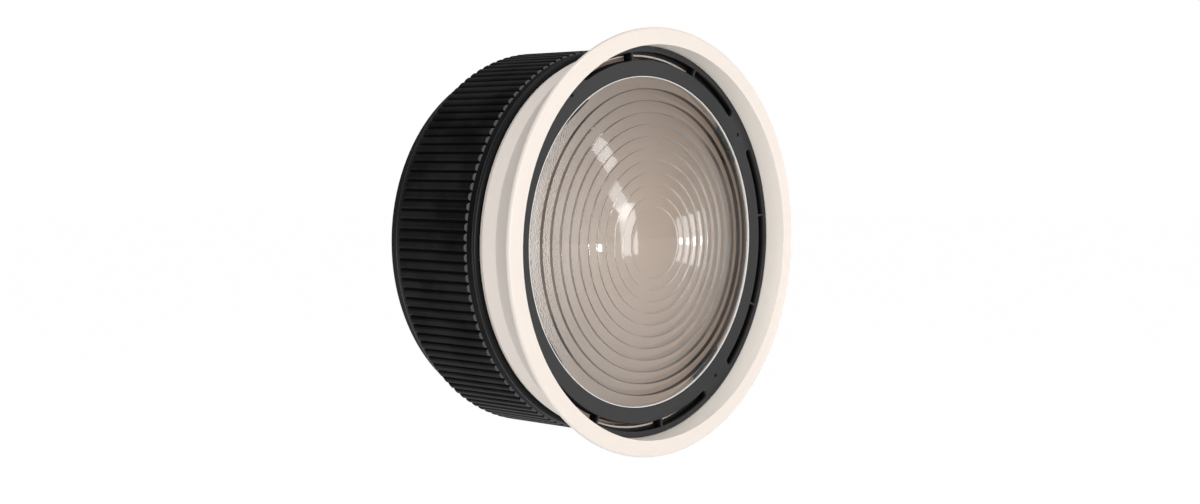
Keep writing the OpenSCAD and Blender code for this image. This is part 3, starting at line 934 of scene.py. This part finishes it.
def turned(name: str, outline: Sequence[Point], segments: int, crease: float) -> bpy.types.Object:
    """Turns an open outline, from axis to axis, about the Y axis.

    Args:
        name: name of the new object.
        outline: points as (radius, y), with the first and last on the axis.
        segments: how many facets go round.
        crease: turn in radians above which an edge stays sharp.

    Returns:
        The linked object.
    """
    rows = outline[1:-1]
    verts = [(0.0, outline[0][1], 0.0), (0.0, outline[-1][1], 0.0)]
    poles = len(verts)
    for radius, y in rows:
        for i in range(segments):
            angle = 2 * math.pi * i / segments
            verts.append((radius * math.cos(angle), y, radius * math.sin(angle)))

    def at(row: int, i: int) -> int:
        """Index of a vertex by its row and its place round the axis."""
        return poles + row * segments + i % segments

    last = len(rows) - 1
    faces: list[tuple[int, ...]] = []
    for i in range(segments):
        faces.append((0, at(0, i + 1), at(0, i)))
        for row in range(last):
            faces.append((at(row, i), at(row, i + 1), at(row + 1, i + 1), at(row + 1, i)))
        faces.append((at(last, i), at(last, i + 1), 1))
    mesh = bpy.data.meshes.new(name)
    mesh.from_pydata(verts, [], faces)
    mesh.polygons.foreach_set("use_smooth", [True] * len(mesh.polygons))
    sharp = {row for row in range(len(rows)) if turn_at(*outline[row : row + 3]) > crease}
    for edge in mesh.edges:
        touched = {(v - poles) // segments for v in edge.vertices}
        edge.use_edge_sharp = len(touched) == 1 and touched <= sharp
    mesh.update()
    made = bpy.data.objects.new(name, mesh)
    bpy.context.scene.collection.objects.link(made)
    return made


# -------------------------------------------------------------- sub-assemblies


def dress(nodes: Iterable[str], finish: Finish) -> None:
    """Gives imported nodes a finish.

    Args:
        nodes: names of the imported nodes.
        finish: the finish that they share.
    """
    material = finish.material()
    for name in nodes:
        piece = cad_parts[name]
        if not piece.material_slots:
            piece.data.materials.append(material)
        for slot in piece.material_slots:
            slot.material = material
        LOG.info("%s is dressed in %s", name, finish.name)


def numbered(stem: str) -> list[str]:
    """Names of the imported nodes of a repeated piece, such as stem_1 and stem_2."""
    return sorted(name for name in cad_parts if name.startswith(f"{stem}_"))


@dataclass
class RearHousing:
    """Everything that stays still with the light."""

    painted: tuple[str, ...] = ("rear_housing",)
    anodised: tuple[str, ...] = ("guide_tube", "retaining_ring")
    steel: tuple[str, ...] = ("mount_plate", "bayonet_ring")
    screws: tuple[str, ...] = ("bayonet_screws", "plate_screws", "guide_screws")
    liner: tuple[str, ...] = ("light_liner",)
    washer: tuple[str, ...] = ("thrust_washer",)
    seal: tuple[str, ...] = ("dust_seal",)

    def build(self) -> None:
        """Dresses the pieces of the rear body."""
        dress(self.painted, BLACK_ENAMEL)
        dress(self.anodised, ANODISED)
        dress(self.steel, PLATE_STEEL)
        dress(self.screws, SCREW_STEEL)
        dress(self.liner, LINER)
        dress(self.washer, NYLON)
        dress(self.seal, FELT)


@dataclass
class FocusRing:
    """The turned ring and its rubber sleeve."""

    ring: tuple[str, ...] = ("focus_ring",)
    grip: tuple[str, ...] = ("rubber_grip",)

    def build(self) -> None:
        """Dresses the ring and the grip."""
        dress(self.ring, ANODISED)
        dress(self.grip, RUBBER)


@dataclass
class FrontBarrel:
    """The casting, the bezel and what drives them along the axis."""

    casting: tuple[str, ...] = ("front_barrel",)
    bezel: tuple[str, ...] = ("lens_bezel",)
    gasket: tuple[str, ...] = ("lens_gasket",)
    pads: tuple[str, ...] = ("clip_pads",)
    screws: tuple[str, ...] = ("clip_screws",)
    clip_stem: str = "lens_clip"
    pin_stem: str = "follower_pin"
    roller_stem: str = "follower_roller"

    def build(self) -> None:
        """Dresses the pieces of the moving barrel, apart from the lens."""
        dress(self.casting, CREAM)
        dress(self.bezel, CHARCOAL)
        dress(self.gasket, SILICONE)
        dress(self.pads, SOFT_RUBBER)
        dress(numbered(self.clip_stem), SPRING_STEEL)
        dress(self.screws, SCREW_STEEL)
        dress(numbered(self.pin_stem), SCREW_STEEL)
        dress(numbered(self.roller_stem), BRASS)


@dataclass
class SteppedLens:
    """The lens as moulded: fire-polished zones in front, stipple behind.

    Radii are measured from the optical axis and heights from the flat back.

    Attributes:
        rings: how many steps go round the centre disc.
        centre_mm: radius of the centre disc.
        rim_mm: thickness of the rim that the bezel holds.
        land_mm: flat of the rim that shows outside the first step.
        bevel_mm: bevel of the rim's two edges.
        foot_mm: how far the outermost step's foot stands above the rim.
        dome_mm: how much higher the steps' feet lie in the middle.
        focal_mm: focal length of each zone.
        draft: lean of the risers that lets the glass leave its mould.
        polish_mm: radius to which the flame rounds a sharp corner.
        sharp_turn: turn from which a corner of the outline is rounded.
        crease: turn above which an edge is shaded sharp.
        riser_lean: most of a riser's normal that may lie along the axis.
        flat_mm: how near to the back's plane its faces are.
        zone_steps: stretches of one zone's curve.
        segments: facets round the axis.
    """

    rings: int = 11
    centre_mm: float = 20.2
    rim_mm: float = 5.0
    land_mm: float = 0.2
    bevel_mm: float = 0.5
    foot_mm: float = 1.5
    dome_mm: float = 6.3
    focal_mm: float = 310.0
    draft: float = math.radians(5)
    polish_mm: float = 0.12
    sharp_turn: float = math.radians(25)
    crease: float = math.radians(50)
    riser_lean: float = 0.3
    flat_mm: float = 0.01
    zone_steps: int = 6
    segments: int = 288

    def foot(self, radius: float) -> float:
        """Height of the steps' feet at a radius in mm."""
        return self.rim_mm + self.foot_mm + self.dome_mm * (1 - (radius / STEPPED_MM) ** 2)

    def height(self, radius: float, foot_radius: float) -> float:
        """Height of a zone's surface.

        Args:
            radius: where it is measured, in mm.
            foot_radius: radius of the zone's foot, in mm.

        Returns:
            The height in mm.
        """
        bend = 2 * (LensGlass.FRONT.value.index - 1) * self.focal_mm
        return self.foot(foot_radius) + (foot_radius**2 - radius**2) / bend

    def zones(self) -> list[Point]:
        """Draws the stepped front.

        Returns:
            Its outline from the rim in to the axis, as (radius, height) in mm.
        """
        width = (STEPPED_MM - self.centre_mm) / self.rings
        made: list[Point] = []
        for k in reversed(range(self.rings)):
            inner = self.centre_mm + k * width
            outer = inner + width
            rise = self.height(inner, outer) - self.foot(inner)
            crest = inner + rise * math.tan(self.draft)
            made += [(r, self.height(r, outer)) for r in between(outer, crest, self.zone_steps)]
        centre = between(self.centre_mm, 0, self.zone_steps)
        return made + [(r, self.height(r, self.centre_mm)) for r in centre]

    def outline(self, rim: float) -> list[Point]:
        """Draws the whole lens.

        Args:
            rim: radius of its rim, in mm.

        Returns:
            Its outline from the back's centre round to the front's, in mm.
        """
        inset = rim - self.bevel_mm
        back = [(0.0, 0.0), (rim / 2, 0.0), (inset, 0.0), (rim, self.bevel_mm)]
        front = [(rim, self.rim_mm - self.bevel_mm), (inset, self.rim_mm)]
        land = (STEPPED_MM + self.land_mm, self.rim_mm)
        return [*back, *front, land, *self.zones()]

    def glass_of(self, mesh: bpy.types.Mesh, face: bpy.types.MeshPolygon, back: float) -> LensGlass:
        """Tells which glass a face shows.

        Args:
            mesh: the lens's mesh.
            face: one of its faces.
            back: place of its flat back along Y.

        Returns:
            The face's glass.
        """
        if all(mesh.vertices[v].co.y > back - self.flat_mm * MM for v in face.vertices):
            return LensGlass.BACK
        is_riser = abs(face.normal.y) < self.riser_lean
        return LensGlass.RISER if is_riser else LensGlass.FRONT

    def build(self) -> None:
        """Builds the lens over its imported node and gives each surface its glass."""
        low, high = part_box("fresnel_lens")
        back, rim = high.y, (high.x - low.x) / 2 / MM
        soft = softened(self.outline(rim), self.polish_mm, self.sharp_turn)
        points = [(r * MM, back - h * MM) for r, h in soft]
        lens = turned("stepped_lens", points, self.segments, self.crease)
        slots = list(LensGlass)
        for glass in slots:
            lens.data.materials.append(glass.value.material())
        for face in lens.data.polygons:
            face.material_index = slots.index(self.glass_of(lens.data, face, back))
        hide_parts("fresnel_lens")
        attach(lens, "barrel")
        LOG.info("stepped_lens stands for fresnel_lens with %d rings", self.rings)


# --------------------------------------------------------------------- studio


def direction(azimuth: float, elevation: float) -> Vector:
    """Direction away from the object.

    Args:
        azimuth: degrees from the front of the lens, growing towards +X.
        elevation: degrees above the horizontal.

    Returns:
        The unit vector.
    """
    turn, tilt = math.radians(azimuth), math.radians(elevation)
    level = math.cos(tilt)
    return Vector((math.sin(turn) * level, -math.cos(turn) * level, math.sin(tilt)))


class Side(Enum):
    """Where a lamp hangs, as azimuth and elevation in degrees.

    KEY, CREST, STREAK and SPOT make the highlights on the left of the lens, and
    RIGHT and SHEEN those on its right.  FILL lights the camera's side of the
    object, and ABOVE its top.
    """

    KEY = (29.0, 2.5)
    CREST = (25.0, 13.0)
    STREAK = (20.0, 31.0)
    SPOT = (10.5, -4.0)
    RIGHT = (82.0, -3.0)
    SHEEN = (83.0, -2.5)
    FILL = (-50.0, 4.0)
    ABOVE = (-20.0, 75.0)


@dataclass(frozen=True)
class SoftBox:
    """A rectangular soft box that faces the object.

    Attributes:
        side: where it hangs.
        distance: how far from the object's centre.
        width: its width.
        height: its height.
        level: brightness of a white surface that squarely faces it.
        roll: degrees by which it is turned about its own axis.
    """

    side: Side
    distance: float
    width: float
    height: float
    level: float
    roll: float = 0.0

    def build(self, target: Vector) -> None:
        """Hangs the soft box.

        Args:
            target: the point that it faces.
        """
        away = direction(*self.side.value)
        lamp = bpy.data.lights.new(f"softbox {self.side.name.lower()}", "AREA")
        lamp.shape = "RECTANGLE"
        lamp.size, lamp.size_y = self.width, self.height
        lamp.energy = self.level * math.pi**2 * self.distance**2
        holder = bpy.data.objects.new(lamp.name, lamp)
        holder.location = target + away * self.distance
        facing = (-away).to_track_quat("-Z", "Y")
        spun = Quaternion((0.0, 0.0, 1.0), math.radians(self.roll))
        holder.rotation_euler = (facing @ spun).to_euler()
        bpy.context.scene.collection.objects.link(holder)
        LOG.info("%s hangs at %.1f m", lamp.name, self.distance)


@dataclass(frozen=True)
class Studio:
    """Floor, surrounding light and lamps.

    Attributes:
        floor_drop: how far the floor lies under the object.
        floor_size: length of its sides.
        floor_colour: its colour where it takes light.
        floor_roughness: its roughness.
        floor_share: how much of its glow the camera, reflections and glass show.
        floor_glow: strength of that glow, which gives no diffuse light.
        ambient: strength of the world's light on the object.
        boxes: the lamps.
    """

    floor_drop: float = 0.3
    floor_size: float = 24.0
    floor_colour: Colour = (0.9, 0.9, 0.9)
    floor_roughness: float = 0.9
    floor_share: float = 0.975
    floor_glow: float = 1.012
    ambient: float = 0.36
    boxes: tuple[SoftBox, ...] = (
        SoftBox(Side.KEY, 1.6, 0.31, 0.54, 0.15, roll=6.0),
        SoftBox(Side.CREST, 1.6, 0.22, 0.38, 0.065, roll=32.0),
        SoftBox(Side.STREAK, 1.6, 0.22, 0.3, 0.06, roll=30.0),
        SoftBox(Side.SPOT, 1.6, 0.08, 0.08, 0.035),
        SoftBox(Side.RIGHT, 1.6, 1.2, 0.05, 0.07),
        SoftBox(Side.SHEEN, 1.6, 1.2, 0.36, 0.2),
        SoftBox(Side.FILL, 2.2, 1.6, 1.6, 0.66),
        SoftBox(Side.ABOVE, 2.2, 1.5, 1.5, 0.25),
    )

    def build(self) -> None:
        """Builds the floor, the world and the lamps."""
        low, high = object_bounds()
        self.lay_floor(low.z)
        self.light_world()
        for box in self.boxes:
            box.build((low + high) / 2)

    def lay_floor(self, under: float) -> None:
        """Lays a white floor that keeps the object's shadow.

        Args:
            under: height of the object's lowest point.
        """
        half = self.floor_size / 2
        z = under - self.floor_drop
        mesh = bpy.data.meshes.new("floor")
        corners = [(-half, -half, z), (half, -half, z), (half, half, z), (-half, half, z)]
        mesh.from_pydata(corners, [], [(0, 1, 2, 3)])
        floor = bpy.data.objects.new("floor", mesh)
        bpy.context.scene.collection.objects.link(floor)
        material = bpy.data.materials.new("floor")
        graph = Graph(material)
        matt = Finish("floor", self.floor_colour, self.floor_roughness).shader(graph)
        white = graph.node("ShaderNodeEmission", inputs={"Strength": self.floor_glow})
        graph.show(graph.mix_shaders(self.seen(graph) * self.floor_share, matt, white))
        mesh.materials.append(material)
        floor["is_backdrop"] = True
        LOG.info("floor lies %.2f m under the object", self.floor_drop)

    @staticmethod
    def seen(graph: Graph) -> Term:
        """Tells rays that show the surroundings from rays that light the object.

        Args:
            graph: the tree to build in.

        Returns:
            1 on camera, glossy and transmission rays, and 0 on the others.
        """
        seen = graph.ray(Ray.CAMERA) + graph.ray(Ray.GLOSSY) + graph.ray(Ray.THROUGH)
        return seen.ramp(0.0, 1.0)

    def light_world(self) -> None:
        """Fills the world with soft light, and shows it white to the camera alone."""
        world = bpy.data.worlds.new("studio")
        bpy.context.scene.world = world
        graph = Graph(world)
        strength = self.ambient + (1 - self.ambient) * graph.ray(Ray.CAMERA)
        inputs = {"Color": (1.0, 1.0, 1.0), "Strength": strength}
        glow = graph.node("ShaderNodeBackground", inputs=inputs)
        graph.show(glow, "ShaderNodeOutputWorld")
        LOG.info("world gives %.2f of the light", self.ambient)


@dataclass(frozen=True)
class Viewpoint:
    """The camera, placed from the centre of the front rim's face.

    Attributes:
        azimuth: degrees from the front of the lens, growing towards +X.
        elevation: degrees above the horizontal.
        lens_mm: focal length.
        sensor_mm: width of the sensor.
        rim_right: how far to the right of the picture's centre the rim lies.
        rim_up: how far above it.
        rim_distance: how far from the camera.
    """

    azimuth: float = -47.0
    elevation: float = 3.28
    lens_mm: float = 51.0
    sensor_mm: float = 36.0
    rim_right: float = 0.03626
    rim_up: float = 0.00497
    rim_distance: float = 0.95864

    def build(self) -> None:
        """Sets the scene's camera."""
        back = direction(self.azimuth, self.elevation)
        right = Vector((0.0, 0.0, 1.0)).cross(back).normalized()
        up = back.cross(right)
        low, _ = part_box("front_barrel")
        rim = Vector((0.0, low.y, 0.0))
        spot = rim - right * self.rim_right - up * self.rim_up + back * self.rim_distance
        data = bpy.data.cameras.new("camera")
        data.lens, data.sensor_width = self.lens_mm, self.sensor_mm
        camera = bpy.data.objects.new("camera", data)
        turn = Matrix((right, up, back)).transposed()
        camera.matrix_world = Matrix.Translation(spot) @ turn.to_4x4()
        bpy.context.scene.collection.objects.link(camera)
        bpy.context.scene.camera = camera
        LOG.info("camera stands at %s", tuple(round(v, 3) for v in spot))


def main() -> None:
    """Builds the look in order and reports each piece."""
    logging.basicConfig(level=logging.INFO, format="%(name)s: %(message)s")
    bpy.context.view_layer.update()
    bpy.context.scene.view_settings.view_transform = "Standard"
    RearHousing().build()
    FocusRing().build()
    FrontBarrel().build()
    SteppedLens().build()
    Studio().build()
    Viewpoint().build()


if __name__ == "__main__":
    main()
